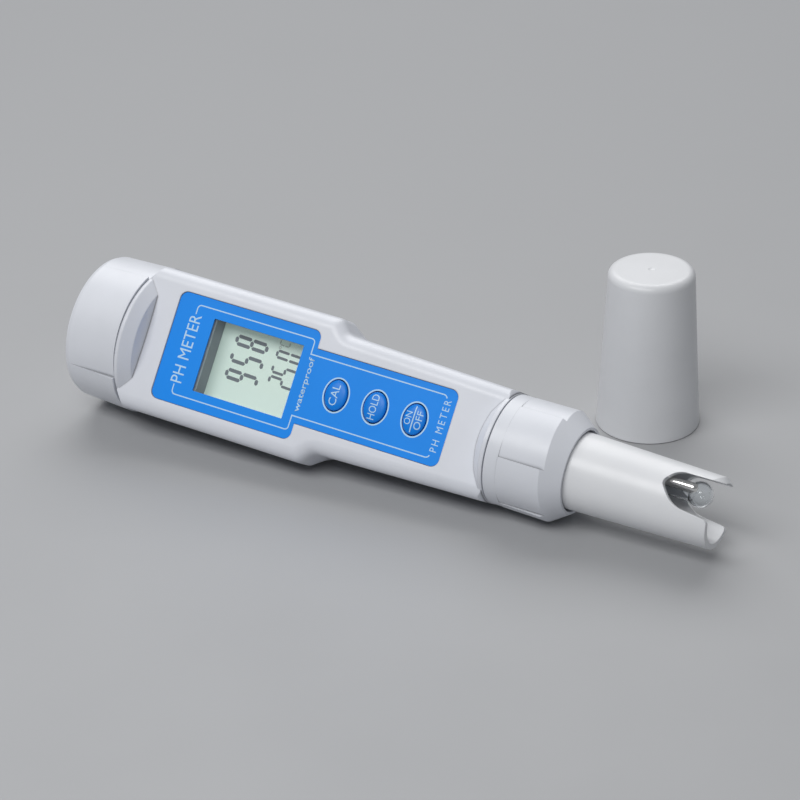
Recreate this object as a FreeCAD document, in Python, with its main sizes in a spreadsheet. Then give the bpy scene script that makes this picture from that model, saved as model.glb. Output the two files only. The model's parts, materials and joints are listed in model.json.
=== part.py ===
"""Pocket pH meter: a waterproof pen with a screw battery cap, a display, three keys,
a replaceable electrode held by a collar nut, and a push-on protective cap.

Pen coordinates: x runs along the pen from the closed end of the battery cap to the
electrode tip, y across the face, z out of the face, all from the pen's own axis.
Panel coordinates: x and y lie in the sloping face, z stands out of it, and the origin
is the middle of the label edge nearest the battery cap.
Row coordinates: the pen lies on the ground along +X and is rolled towards -Y, and the
protective cap stands mouth down behind the electrode.
"""
import FreeCAD, Part
import math
import os
import re
import Sketcher

V = FreeCAD.Vector
ALONG, ACROSS, UP = V(1, 0, 0), V(0, 1, 0), V(0, 0, 1)

DIMENSIONS = {
    # battery cap
    "cap_length": 15.8, "cap_radius": 18.75, "cap_edge": 1.5, "cap_bore": 16.7, "cap_floor": 2.4,
    "cap_rib_low": 0, "cap_rib_rise": 0.85, "cap_rib_turn": 41,
    # housing, outside
    "seam_start": 16, "flange_radius": 19, "flange_flat": 16.9, "crest_at": 19.6, "crest_radius": 16.5,
    "wide_half": 18.8, "shoulder_start": 70, "shoulder_end": 73.2, "narrow_half": 15.4,
    "narrow_end_half": 14, "collar_seam": 119.5, "ring_radius": 13.9, "flare_start": 114.6,
    "flare_radius": 8.4, "flare_end": 118.4, "wall": 2.2, "face_edge": 3.4, "flank_edge": 4,
    "shoulder_round": 2.6, "split_depth": 2, "cover_start": 33, "cover_end": 113,
    "back_depth": 14.1, "back_tilt": 0.9, "flank_reach": 17.7, "flank_turn": 36.7, "flank_lean": 1.95,
    # housing, necks and chamber
    "neck_start": 4.6, "neck_radius": 16.3, "neck_bore": 13.8, "groove_at": 13.6, "groove_width": 1.8,
    "groove_depth": 1.6, "seal_section": 0.76, "probe_neck_end": 128, "probe_neck_radius": 11.2,
    "probe_neck_bore": 9.2,
    "chamber_start": 22, "chamber_end": 111.5, "throat": 9, "throat_start": 17.4, "socket_start": 116,
    # label, window and keys, in panel coordinates
    "label_start": 25.9, "label_length": 80.8, "label_step": 41, "label_half": 14.2,
    "label_end_half": 9.8, "label_round": 2.1, "label_gap": 0.12, "recess": 0.6, "label_thick": 0.35,
    "window_start": 11.1, "window_length": 26, "window_half": 9.5, "window_ledge": 1,
    "lens_thick": 1, "key_first": 49.5, "key_pitch": 10.95, "key_half_length": 3.85,
    "key_half_width": 2.95, "key_gap": 0.3, "key_rise": 0.5, "key_travel": 0.5,
    # display and board, depths below the face
    "holder_top": 2.3, "glass_top": 7, "glass_thick": 2.2, "foil_thick": 0.3, "board_top": 11,
    "board_thick": 1.2, "switch_height": 3.5, "switch_side": 6, "plunger_radius": 1.5,
    # batteries and contacts
    "contact_radius": 11.5, "contact_at": 2.8, "contact_thick": 0.4, "spring_radius": 3.6,
    "spring_pitch": 0.95, "spring_wire": 0.24,
    "cell_radius": 5.8, "cell_height": 5.4, "cell_start": 7.2, "holder_radius": 7.6, "holder_end": 30,
    # collar nut
    "nut_start": 119.8, "nut_radius": 13.45, "nut_rib_low": 0.3, "nut_rib_rise": 0.85,
    "nut_rib_turn": 41, "nut_cone_start": 135.4, "nut_end": 139.2, "nut_lip_radius": 10.85,
    "nut_bore": 11.5, "nut_step": 130.6, "nut_mouth": 10.2,
    # electrode
    "flange_start": 128.2, "flange_end": 130.3, "flange_reach": 11.1, "guard_root": 9.85,
    "guard_tip_radius": 8.7, "guard_tip": 175.6, "guard_wall": 1.3, "core_end": 152,
    "notch_apex": 162.2, "notch_across": 3.4, "notch_low": -2.55, "notch_high": 7.1, "prong_round": 1.2,
    "point_at": 170.4, "point_wide": 8.5, "point_thin": 1.45, "point_low": 4.1, "point_high": 12.1,
    "bulb_radius": 3.2, "bulb_at": 169.3, "bulb_across": 3, "bulb_out": -0.9, "stem_radius": 2.3,
    "glass_wall": 0.4, "rod_radius": 1.2, "rod_tip": 169.9, "rod_across": 4, "rod_out": 3.9,
    "plug_radius": 8.7, "plug_start": 121, "electrode_start": 133, "pin_circle": 3.4,
    # protective cap
    "cover_height": 43, "cover_mouth": 13.3, "cover_top": 10.95, "cover_wall": 1.5, "cover_edge": 2,
    "cover_along": 131.6, "cover_behind": 53.8,
    # how the pen lies
    "rest_radius": 19.466, "rest_at": 15.8, "rest_collar": 13.966, "rest_collar_at": 135.4, "roll": 55.7,
    "face_height": 11.7, "face_height_at": 30, "face_slope": 0.041,
}

DOC = FreeCAD.newDocument("ph_meter")
SHEET = DOC.addObject("Spreadsheet::Sheet", "Dimensions")
PARTS = []


def fill_sheet():
    for row, (alias, number) in enumerate(DIMENSIONS.items(), start=1):
        SHEET.set("A%d" % row, alias)
        SHEET.set("B%d" % row, str(number))
        SHEET.setAlias("B%d" % row, alias)
    DOC.recompute()


def formula(text):
    """Point each alias in a formula at the sheet."""
    return re.sub(r"[a-z][a-z_]{3,}", lambda found: "Dimensions." + found.group(0), str(text))


def number(text):
    """The value that a formula has now."""
    return float(SHEET.evalExpression(formula(text)))


def bind(thing, **formulas):
    for name, text in formulas.items():
        thing.setExpression(name, formula(text))
    return thing


def place(thing, x=0, y=0, z=0, turn=None, frame=None):
    """Set a placement from formulas, within a frame."""
    spot = FreeCAD.Placement(V(number(x), number(y), number(z)), turn or FreeCAD.Rotation())
    thing.Placement = frame.multiply(spot) if frame else spot
    return thing


def finish(thing, label, frame):
    """Label a sub-part and put it in its frame."""
    thing.Label = label
    thing.Placement = frame.multiply(thing.Placement)
    PARTS.append(thing)
    return thing


# ---- building blocks

def outline(sketch, corners):
    """A closed polygon whose corners are held by formulas."""
    spots = [V(number(x), number(y), 0) for x, y in corners]
    for index, spot in enumerate(spots):
        sketch.addGeometry(Part.LineSegment(spot, spots[(index + 1) % len(spots)]))
    for index, (x, y) in enumerate(corners):
        sketch.addConstraint(Sketcher.Constraint("Coincident", index - 1 if index else len(corners) - 1,
                                                 2, index, 1))
        for kind, axis, text, value in (("DistanceX", -2, x, spots[index].x),
                                        ("DistanceY", -1, y, spots[index].y)):
            if text == 0:
                sketch.addConstraint(Sketcher.Constraint("PointOnObject", index, 1, axis))
                continue
            held = sketch.addConstraint(Sketcher.Constraint(kind, -1, 1, index, 1, value))
            sketch.setExpression("Constraints[%d]" % held, formula(text))


def body_sketch(body, corners, role="XY_Plane", lift=0):
    sketch = body.newObject("Sketcher::SketchObject", body.Name + "_outline")
    plane = [item for item in body.Origin.OriginFeatures if item.Role == role][0]
    sketch.AttachmentSupport = [(plane, "")]
    sketch.MapMode = "FlatFace"
    sketch.AttachmentOffset = FreeCAD.Placement(V(0, 0, number(lift)), FreeCAD.Rotation())
    outline(sketch, corners)
    return sketch


def turned(name, corners):
    """A body turned about the x axis from (along, radius) corners."""
    body = DOC.addObject("PartDesign::Body", name)
    sketch = body_sketch(body, corners)
    turn = body.newObject("PartDesign::Revolution", name + "_turn")
    turn.Profile = sketch
    turn.ReferenceAxis = (sketch, ["H_Axis"])
    turn.Angle = 360
    return body


def slab(name, corners, low, thick):
    """A flat body on the xy plane, from height low."""
    body = DOC.addObject("PartDesign::Body", name)
    sketch = body_sketch(body, corners, lift=low)
    pad = body.newObject("PartDesign::Pad", name + "_pad")
    pad.Profile = sketch
    bind(pad, Length=thick)
    return body


def rectangle(x_low, x_high, half):
    return [(x_low, "-(%s)" % half), (x_high, "-(%s)" % half), (x_high, half), (x_low, half)]


def plate(name, x_low, x_high, half, low, thick):
    return slab(name, rectangle(x_low, x_high, half), low, thick)


def rod(name, radius, length, x=0, y=0, z=0, turn=FreeCAD.Rotation(ACROSS, 90), frame=None):
    """A cylinder along x, or along another way given by turn."""
    bar = bind(DOC.addObject("Part::Cylinder", name), Radius=radius, Height=length)
    return place(bar, x, y, z, turn, frame)


def upright(name, radius, length, x, y, z, frame=None):
    return rod(name, radius, length, x, y, z, FreeCAD.Rotation(), frame)


def block(name, x_low, x_size, y_low, y_size, z_low, z_size, frame=None):
    box = bind(DOC.addObject("Part::Box", name), Length=x_size, Width=y_size, Height=z_size)
    return place(box, x_low, y_low, z_low, frame=frame)


def oval(name, half_length, half_width, x, low, height, frame=None):
    """An upright oval bar whose long way lies across."""
    ring = bind(DOC.addObject("Part::Ellipse", name + "_ring"), MajorRadius=half_length,
                MinorRadius=half_width)
    place(ring, x, 0, low, FreeCAD.Rotation(UP, 90), frame)
    bar = DOC.addObject("Part::Extrusion", name)
    bar.Base = ring
    bar.DirMode = "Custom"
    bar.Dir = frame.Rotation.multVec(UP) if frame else UP
    bar.Solid = True
    return bind(bar, LengthFwd=height)


def cut(name, base, *tools):
    made = DOC.addObject("Part::Cut", name)
    made.Base = base
    made.Tool = tools[0] if len(tools) == 1 else fuse(name + "_tools", *tools)
    return made


def fuse(name, *pieces):
    made = DOC.addObject("Part::MultiFuse", name)
    made.Shapes = list(pieces)
    return made


def common(name, *pieces):
    made = DOC.addObject("Part::MultiCommon", name)
    made.Shapes = list(pieces)
    return made


def group(name, pieces):
    """Separate solids that share one node."""
    made = DOC.addObject("Part::Compound", name)
    made.Links = list(pieces)
    return made


def rounded(name, base, radius, wanted):
    """Round the edges that wanted picks."""
    DOC.recompute()
    made = DOC.addObject("Part::Fillet", name)
    made.Base = base
    size = number(radius)
    made.Edges = [(index, size, size) for index, edge in enumerate(base.Shape.Edges, start=1)
                  if wanted(edge)]
    return made


def middle(edge):
    return edge.valueAt((edge.FirstParameter + edge.LastParameter) / 2)


def is_upright(edge):
    spread = edge.BoundBox
    return spread.ZLength > 0.1 and spread.XLength < 0.05 and spread.YLength < 0.05


def spread_points(radius, count, start=0):
    """(y, z) pairs evenly round the x axis."""
    turns = [math.radians(start + 360 * index / count) for index in range(count)]
    return [(number(radius) * math.cos(turn), number(radius) * math.sin(turn)) for turn in turns]


# ---- frames

def tilt_angle():
    """The pen rests on the battery cap's rim and on the collar nut."""
    return math.degrees(math.asin((number("rest_radius") - number("rest_collar"))
                                  / (number("rest_collar_at") - number("rest_at"))))


def pen_frame():
    tilt = tilt_angle()
    turn = FreeCAD.Rotation(ACROSS, tilt).multiply(FreeCAD.Rotation(ALONG, number("roll")))
    lean = math.radians(tilt)
    height = number("rest_radius") * math.cos(lean) + number("rest_at") * math.sin(lean)
    return FreeCAD.Placement(V(0, 0, height), turn)


def face_drop(inset, x):
    """Height of the sloping face at x, less an inset."""
    return "face_height - face_slope * (%s - face_height_at) - (%s)" % (x, inset)


def panel_frame():
    slope = math.degrees(math.atan(number("face_slope")))
    height = number(face_drop(0, "label_start"))
    return FreeCAD.Placement(V(number("label_start"), 0, height), FreeCAD.Rotation(ACROSS, slope))


fill_sheet()
PEN = pen_frame()
PANEL = panel_frame()
FACE = PEN.multiply(PANEL)
STAND = FreeCAD.Placement(V(number("cover_along"), number("cover_behind"), 0), FreeCAD.Rotation())


# ---- ribbed grips

def lobe(name, radii, rises, start, end, turn, share):
    """One grip lobe: a bar that leans outward towards its end, kept to its share of the turn."""
    near = bind(DOC.addObject("Part::Circle", name + "_near"), Radius=radii[0])
    far = bind(DOC.addObject("Part::Circle", name + "_far"), Radius=radii[1])
    from_y = FreeCAD.Rotation(ACROSS, UP, ALONG, "XYZ")
    # the circles' seam is kept away from the share that is used
    seam = FreeCAD.Rotation(ALONG, turn + share / 2 + 180).multiply(from_y)
    shift = math.radians(turn + share - 90)
    for ring, at, rise in ((near, start, number(rises[0])), (far, end, number(rises[1]))):
        place(ring, at, rise * math.cos(shift), rise * math.sin(shift), seam)
    bar = DOC.addObject("Part::Loft", name + "_bar")
    bar.Sections = [near, far]
    bar.Solid = True
    bar.Ruled = True
    wedge = bind(DOC.addObject("Part::Cylinder", name + "_share"), Radius="%s * 2" % radii[1],
                 Height="%s - (%s)" % (end, start))
    wedge.Angle = share
    place(wedge, start, 0, 0, FreeCAD.Rotation(ALONG, turn).multiply(from_y))
    return common(name, bar, wedge)


def grip(name, radii, rises, start, end, turn, count):
    share = 360 / count
    lobes = [lobe("%s_%d" % (name, index), radii, rises, start, end, number(turn) + share * index, share)
             for index in range(count)]
    return fuse(name, *lobes)


# ---- battery cap

def battery_cap():
    skirt = turned("cap_skirt", [
        (0, 0), (0, "cap_radius - cap_edge"), ("cap_edge * 0.3", "cap_radius - cap_edge * 0.3"),
        ("cap_edge", "cap_radius"), ("cap_edge", "cap_radius - 0.5"), ("cap_length", "cap_radius - 0.5"),
        ("cap_length", 0)])
    ribs = grip("cap_rib", ("cap_radius", "cap_radius"), ("cap_rib_low", "cap_rib_rise"), "cap_edge",
                "cap_length", "cap_rib_turn", 4)
    hollow = turned("cap_hollow", [
        ("cap_floor", 0), ("cap_floor", "cap_bore"), ("cap_length + 1", "cap_bore"), ("cap_length + 1", 0)])
    made = cut("battery_cap_cut", fuse("cap_outside", skirt, ribs), hollow)
    finish(made, "battery_cap", PEN)


def battery_contacts():
    """The plate and spring that the battery cap presses on the stack."""
    finish(rod("cap_contact_plate", "contact_radius", "contact_thick", "contact_at"),
           "battery_cap_contact", PEN)
    spring_start = "contact_at + contact_thick + spring_wire + 0.05"
    coil = bind(DOC.addObject("Part::Helix", "spring_line"), Pitch="spring_pitch", Radius="spring_radius",
                Height="cell_start - (%s) - 0.35" % spring_start)
    place(coil, spring_start, 0, 0, FreeCAD.Rotation(ACROSS, 90))
    DOC.recompute()
    wire = bind(DOC.addObject("Part::Circle", "spring_section"), Radius="spring_wire")
    first = coil.Shape.Vertexes[0].Point
    run = coil.Shape.Edges[0].tangentAt(coil.Shape.Edges[0].FirstParameter)
    wire.Placement = FreeCAD.Placement(first, FreeCAD.Rotation(UP, run))
    spring = DOC.addObject("Part::Sweep", "spring_sweep")
    spring.Sections = [wire]
    spring.Spine = (coil, ["Edge1"])
    spring.Solid = True
    spring.Frenet = True
    finish(spring, "battery_spring", PEN)


def battery_holder():
    tube = turned("holder_tube", [
        ("neck_start - 0.6", "cell_radius + 0.2"), ("neck_start - 0.6", "neck_bore - 0.3"),
        ("neck_start + 1", "neck_bore - 0.3"), ("neck_start + 1", "holder_radius"),
        ("holder_end", "holder_radius"), ("holder_end", 0), ("holder_end - 0.8", 0),
        ("holder_end - 0.8", "cell_radius + 0.2")])
    finish(tube, "battery_holder", PEN)
    cells = []
    for index in range(4):
        start = "cell_start + %d * cell_height" % index
        can = rod("cell_can_%d" % index, "cell_radius", "cell_height * 0.72",
                  "%s + cell_height * 0.25" % start)
        button = rod("cell_button_%d" % index, "cell_radius - 1.1", "cell_height * 0.25", start)
        cells.append(fuse("cell_%d" % index, can, button))
    finish(group("cell_stack", cells), "button_cells", PEN)
    finish(rod("contact_disc", 4, 0.35, "holder_end - 0.8 - 0.35"), "positive_contact", PEN)
    ring = turned("contact_ring", [
        ("neck_start - 0.9", 9.2), ("neck_start - 0.9", 12), ("neck_start - 0.6", 12),
        ("neck_start - 0.6", 9.2)])
    finish(ring, "negative_contact_ring", PEN)


# ---- housing

def half_space(name, level):
    """A block big enough to cut away everything above a level plane."""
    reach = 200
    box = block(name, 0, 2 * reach, 0, 2 * reach, 0, reach)
    box.Placement = level.multiply(FreeCAD.Placement(V(-reach, -reach, 0), FreeCAD.Rotation()))
    return box


def tapered_block(name, inset, start, end):
    """The pen body between two stations, or its hollow when inset: wide at the display, with
    sloping shoulders, a flat sloping face, and flanks that run in to a flat back."""
    narrow = "narrow_half - (%s)" % inset
    narrow_end = "narrow_end_half - (%s)" % inset
    wide = "wide_half - (%s)" % inset
    right = [(start, wide), ("shoulder_start - (%s) * 0.5" % inset, wide),
             ("shoulder_end - (%s) * 0.5" % inset, narrow), (end, narrow_end)]
    left = [(x, "-(%s)" % y) for x, y in reversed(right)]
    prism = slab(name + "_plan", right + left, -22, 44)
    shoulder = number("shoulder_start") - 3, number("shoulder_end") + 3
    smooth = rounded(name + "_shoulders", prism, "shoulder_round",
                     lambda edge: is_upright(edge) and shoulder[0] < middle(edge).x < shoulder[1])
    slope = math.degrees(math.atan(number("face_slope")))
    above = half_space(name + "_top", FreeCAD.Placement(V(0, 0, number(face_drop(inset, 0))),
                                                        FreeCAD.Rotation(ACROSS, slope)))
    under = FreeCAD.Placement(V(0, 0, number(inset) - number("back_depth")),
                              FreeCAD.Rotation(ACROSS, 180 - number("back_tilt")))
    below = half_space(name + "_bottom", under)
    flanks = []
    for side in (-1, 1):
        out = FreeCAD.Rotation(ALONG, -side * (90 + number("flank_turn")))
        reach = FreeCAD.Placement(V(0, 0, number("flank_reach") - number(inset)),
                                  FreeCAD.Rotation(ACROSS, number("flank_lean")))
        away = FreeCAD.Placement(V(), out).multiply(reach)
        flanks.append(half_space("%s_flank_%d" % (name, side + 1), away))
    return cut(name, smooth, above, below, *flanks)


def on_face(edge):
    """An edge of the tapered block where its sides meet the sloping face."""
    spots = [edge.valueAt(edge.FirstParameter), middle(edge), edge.valueAt(edge.LastParameter)]
    level = [abs(spot.z - number(face_drop(0, spot.x))) < 0.02 for spot in spots]
    return all(level) and edge.BoundBox.YLength < 8


def on_flank(edge):
    """An edge of the tapered block along its flanks, below the face."""
    return edge.BoundBox.XLength > 20 and middle(edge).z < 0


def housing_outside():
    raw = tapered_block("shell", 0, "seam_start + 0.4", "collar_seam - 0.4")
    faced = rounded("shell_face_round", raw, "face_edge", on_face)
    flanked = rounded("shell_flank_round", faced, "flank_edge", on_flank)
    envelope = turned("shell_envelope", [
        ("seam_start", 0), ("seam_start", "flange_radius"), ("seam_start + 5", "flange_radius + 5"),
        ("collar_seam - 10", "ring_radius + 10"), ("collar_seam", "ring_radius"), ("collar_seam", 0)])
    trimmed = common("shell_trimmed", flanked, envelope)
    flange = turned("flange", [
        ("seam_start", 0), ("seam_start", "flange_radius"), ("flange_flat", "flange_radius"),
        ("crest_at", "crest_radius"), ("crest_at + 0.3", "face_height"), ("crest_at + 0.3", 0)])
    flare = turned("flare", [
        ("flare_start", 0), ("flare_start", "flare_radius"), ("flare_start + 1.4", "flare_radius + 2.7"),
        ("flare_end", "ring_radius"), ("collar_seam", "ring_radius"), ("collar_seam", 0)])
    return fuse("housing_outside", trimmed, flange, flare)


def back_slab(name, inset=0, low=-30, high="-split_depth"):
    start, end = "cover_start + (%s)" % inset, "cover_end - (%s)" % inset
    return block(name, start, "%s - (%s)" % (end, start), -30, 60, low, "%s - (%s)" % (high, low))


def neck_solids():
    battery_neck = turned("battery_neck", [
        ("neck_start", "neck_bore"), ("neck_start", "neck_radius"), ("groove_at", "neck_radius"),
        ("groove_at", "neck_radius - groove_depth"),
        ("groove_at + groove_width", "neck_radius - groove_depth"),
        ("groove_at + groove_width", "neck_radius"), ("seam_start + 1", "neck_radius"),
        ("seam_start + 1", "neck_bore")])
    probe_neck = turned("probe_neck", [
        ("collar_seam - 1", "probe_neck_bore"), ("collar_seam - 1", "probe_neck_radius"),
        ("probe_neck_end", "probe_neck_radius"), ("probe_neck_end", "probe_neck_bore")])
    return battery_neck, probe_neck


def key_places():
    return ["key_first + %d * key_pitch" % index for index in range(3)]


def key_ovals(name, grow, low, height, frame=None):
    """An oval bar at each key, larger than the key all round."""
    return [oval("%s_%d" % (name, index), "key_half_length + %s" % grow, "key_half_width + %s" % grow,
                 spot, low, height, frame) for index, spot in enumerate(key_places())]


COVER_SCREWS = [(40.0, 14.9), (40.0, -14.9), (108.2, 8.2), (108.2, -8.2)]
BOARD_SCREWS = [(44.7, 9.7), (44.7, -9.7), (76.2, 7.6), (76.2, -7.6)]
BOSS_RADIUS = 1.8


def face_cuts():
    """The label recess, the stepped window and the key holes, in pen coordinates."""
    recess = label_outline("recess_cut", 0, "-recess", 3)
    recess.Placement = PANEL
    lens_seat = block("lens_seat", "window_start - window_ledge", "window_length + 2 * window_ledge",
                      "-window_half - window_ledge", "2 * (window_half + window_ledge)",
                      "-recess - lens_thick", 5, PANEL)
    window = block("window_cut", "window_start", "window_length", "-window_half", "2 * window_half",
                   -5, 8, PANEL)
    holes = key_ovals("key_hole", "key_gap", -5, 8, PANEL)
    return [recess, lens_seat, window] + holes


def housing():
    outside = housing_outside()
    chamber = tapered_block("chamber", "wall", "chamber_start", "chamber_end")
    slab_below = back_slab("cover_space")
    gasket_space = common("gasket_space",
                          tapered_block("gasket_out", 0.7, "cover_start + 0.7", "cover_end - 0.7"),
                          back_slab("gasket_level", 0, "-split_depth", "-split_depth + 0.6"))
    battery_neck, probe_neck = neck_solids()
    inner = rod("neck_hollow", "neck_bore", "throat_start - seam_start + 1", "seam_start - 1")
    throat = rod("throat_hollow", "throat", "chamber_start - throat_start + 2", "throat_start - 1")
    socket_hole = rod("socket_hollow", "probe_neck_bore", "collar_seam - socket_start + 1", "socket_start")
    lead_hole = rod("lead_hollow", 5.5, "socket_start - chamber_end + 2", "chamber_end - 1")
    hollowed = cut("housing_hollowed", outside, chamber, slab_below, gasket_space, inner, throat,
                   socket_hole, lead_hole)
    bosses = []
    for index, (x, y) in enumerate(COVER_SCREWS):
        top = face_drop("wall - 0.5", x)
        bosses.append(upright("cover_boss_%d" % index, BOSS_RADIUS, "%s + split_depth" % top, x, y,
                              "-split_depth"))
    for index, (x, y) in enumerate(BOARD_SCREWS):
        bosses.append(upright("board_boss_%d" % index, BOSS_RADIUS, "board_top - wall + 0.5", x, y,
                              "-board_top", PANEL))
    whole = fuse("housing_whole", hollowed, battery_neck, probe_neck, *bosses)
    pilots = [upright("cover_pilot_%d" % index, 1, 8, x, y, -3) for index, (x, y) in enumerate(COVER_SCREWS)]
    pilots += [upright("board_pilot_%d" % index, 0.9, 4.6, x, y, "-board_top - 0.1", PANEL)
               for index, (x, y) in enumerate(BOARD_SCREWS)]
    finish(cut("housing_cut", whole, *(face_cuts() + pilots)), "housing", PEN)


def back_cover():
    outside = DOC.getObject("shell_flank_round")
    level = back_slab("cover_level", 0.1, -30, "-split_depth")
    shell = common("cover_shell", outside, level)
    hollow = tapered_block("cover_hollow", "wall", "cover_start + 2.2", "cover_end - 2.2")
    hollowed = cut("cover_hollowed", shell, hollow)
    bosses = []
    pockets = []
    for index, (x, y) in enumerate(COVER_SCREWS):
        post = upright("cover_post_%d" % index, BOSS_RADIUS + 1, 20, x, y, "-split_depth - 20")
        bosses.append(common("cover_post_cut_%d" % index, post, outside))
        pockets.append(upright("cover_hole_%d" % index, 1.2, 20, x, y, -19))
        pockets.append(upright("cover_head_%d" % index, 2.1, 20, x, y, -24.2))
    whole = fuse("cover_whole", hollowed, *bosses)
    finish(cut("back_cover_cut", whole, *pockets), "back_cover", PEN)
    screws = []
    for index, (x, y) in enumerate(COVER_SCREWS):
        head = upright("cover_screw_head_%d" % index, 1.9, 1.4, x, y, -5.6)
        shank = upright("cover_screw_shank_%d" % index, 1, 8, x, y, -4.4)
        drive = block("cover_screw_slot_%d" % index, x - 1.3, 2.6, y - 0.25, 0.5, -5.7, 0.6)
        screws.append(cut("cover_screw_%d" % index, fuse("cover_screw_raw_%d" % index, head, shank), drive))
    finish(group("cover_screw_set", screws), "cover_screws", PEN)


def cover_gasket():
    ring = cut("gasket_ring", tapered_block("gasket_outer", 0.72, "cover_start + 0.72", "cover_end - 0.72"),
               tapered_block("gasket_inner", 1.6, "cover_start + 1.6", "cover_end - 1.6"))
    level = back_slab("gasket_slab", 0, "-split_depth + 0.02", "-split_depth + 0.58")
    finish(common("gasket_cut", ring, level), "back_cover_gasket", PEN)


def seal_ring(name, label, at, centre_radius, section):
    ring = bind(DOC.addObject("Part::Torus", name), Radius1=centre_radius, Radius2=section)
    finish(place(ring, at, 0, 0, FreeCAD.Rotation(ACROSS, 90)), label, PEN)


# ---- face: label, window and keys

def label_outline(name, inset, low, thick):
    """The T-shaped label: wide round the display, narrow along the keys, with rounded corners."""
    wide, narrow = "label_half - (%s)" % inset, "label_end_half - (%s)" % inset
    right = [(inset if inset else 0, wide), ("label_step - (%s)" % inset, wide),
             ("label_step - (%s)" % inset, narrow), ("label_length - (%s)" % inset, narrow)]
    left = [(x, "-(%s)" % y) for x, y in reversed(right)]
    flat = slab(name + "_flat", right + left, low, thick)
    return rounded(name, flat, "label_round",
                   lambda edge: is_upright(edge) and not inner_corner(middle(edge)))


def inner_corner(spot):
    return abs(spot.x - number("label_step")) < 1 and abs(spot.y) < number("label_end_half") + 1


def label_overlay():
    sheet = label_outline("label_sheet", "label_gap", "-recess", "label_thick")
    window = block("label_window", "window_start", "window_length", "-window_half", "2 * window_half", -3, 6)
    holes = key_ovals("label_hole", "key_gap", -3, 6)
    finish(cut("label_cut", sheet, window, *holes), "label_overlay", FACE)


def display():
    gap = 0.05
    lens = plate("lens", "window_start - window_ledge + %s" % gap,
                 "window_start + window_length + window_ledge - %s" % gap,
                 "window_half + window_ledge - %s" % gap, "-recess - lens_thick + 0.02", "lens_thick - 0.04")
    finish(lens, "display_window", FACE)
    frame = block("holder_frame", 7, 34, -12.9, 25.8, "-board_top + 0.02", "board_top - holder_top")
    opening = block("holder_opening", "window_start", "window_length", "-window_half - 0.1",
                    "2 * window_half + 0.2", -10, 10)
    pocket = block("holder_pocket", 8.4, 31.2, -12, 24, "-board_top - 1", "board_top - glass_top + 1")
    finish(cut("holder_cut", frame, opening, pocket), "display_holder", FACE)
    bottom = "-glass_top - glass_thick"
    finish(plate("glass_cell", 8.5, 39.5, 11.9, bottom, "glass_thick - 0.02"), "lcd_glass", FACE)
    foil = plate("foil", 8.9, 39.1, 9.2, "%s - foil_thick" % bottom, "foil_thick - 0.02")
    finish(foil, "lcd_reflector", FACE)
    height = "board_top - glass_top - glass_thick - 0.04"
    strips = [block("strip_%d" % index, 9.5, 29, y - 0.8, 1.6, "-board_top + 0.02", height)
              for index, y in enumerate((-10.5, 10.5))]
    finish(group("strip_set", strips), "elastomer_strips", FACE)


def keypad():
    top, flange = "key_rise", "-wall - 0.45 - 0.8"
    names = ("cal_key", "hold_key", "power_key")
    for label, spot in zip(names, key_places()):
        button = oval(label + "_button", "key_half_length", "key_half_width", spot, flange,
                      "%s - (%s)" % (top, flange))
        crown = rounded(label + "_crown", button, 0.55, lambda edge: edge.BoundBox.ZMin > 0.3)
        rim = oval(label + "_rim", "key_half_length + 1", "key_half_width + 1", spot, flange, 0.8)
        foot = upright(label + "_foot", 1.3, 0.6, spot, 0, "%s - 0.6" % flange)
        finish(fuse(label + "_body", crown, rim, foot), label, FACE)
        stem_top = "%s - 0.6" % flange
        low = "-board_top + switch_height - 0.9"
        plunger = upright(label + "_stem", "plunger_radius", "%s - (%s)" % (stem_top, low), spot, 0, low)
        finish(plunger, label.replace("key", "switch_plunger"), FACE)
    sheet = plate("keypad_sheet", 43, 77, 8.4, "-wall - 0.42", 0.4)
    holes = key_ovals("sheet_hole", "key_gap", -5, 6)
    posts = [upright("sheet_post_%d" % index, BOSS_RADIUS, 6, x, y, -5) for index, (x, y)
             in enumerate(BOARD_SCREWS)]
    finish(cut("keypad_gasket_cut", sheet, *(holes + posts)), "keypad_gasket", FACE)


def circuit_board():
    side = [(4.8, 12.4), (42, 12.4), (43.5, 11.7), (79.6, 10.3)]
    base = slab("board_flat", side + [(x, -y) for x, y in reversed(side)], "-board_top - board_thick",
                "board_thick")
    holes = [upright("board_hole_%d" % index, 1.1, 4, x, y, "-board_top - 2") for index, (x, y)
             in enumerate(BOARD_SCREWS)]
    finish(cut("board_cut", base, *holes), "circuit_board", FACE)
    below = "-board_top - board_thick"
    parts = [block("chip", 18, 10, -5, 10, "%s - 1.6" % below, 1.58),
             block("amplifier", 52, 5, -3, 6, "%s - 1.5" % below, 1.48)]
    for index, x in enumerate((34, 62, 68)):
        trimmer = upright("trimmer_%d" % index, 2, 2.4, x, 5, "%s - 2.42" % below)
        parts.append(trimmer)
    for index in range(6):
        parts.append(block("small_part_%d" % index, 32 + 5 * index, 2, -6.5, 1.2, "%s - 0.82" % below, 0.8))
    finish(group("component_set", parts), "board_components", FACE)
    screws = []
    for index, (x, y) in enumerate(BOARD_SCREWS):
        head = upright("board_screw_head_%d" % index, 1.8, 1.2, x, y, "%s - 1.22" % below)
        shank = upright("board_screw_shank_%d" % index, 0.85, 5, x, y, "%s - 0.1" % below)
        screws.append(fuse("board_screw_%d" % index, head, shank))
    finish(group("board_screw_set", screws), "board_screws", FACE)
    switches = []
    for index, spot in enumerate(key_places()):
        half = "switch_side / 2"
        case = block("switch_case_%d" % index, "%s - %s" % (spot, half), "switch_side", "-%s" % half,
                     "switch_side", "-board_top + 0.02", "switch_height")
        well = upright("switch_well_%d" % index, "plunger_radius + 0.35", 5, spot, 0,
                       "-board_top + switch_height - 0.9 - key_travel - 0.2")
        switches.append(cut("switch_%d" % index, case, well))
    finish(group("switch_set", switches), "key_switches", FACE)


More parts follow.
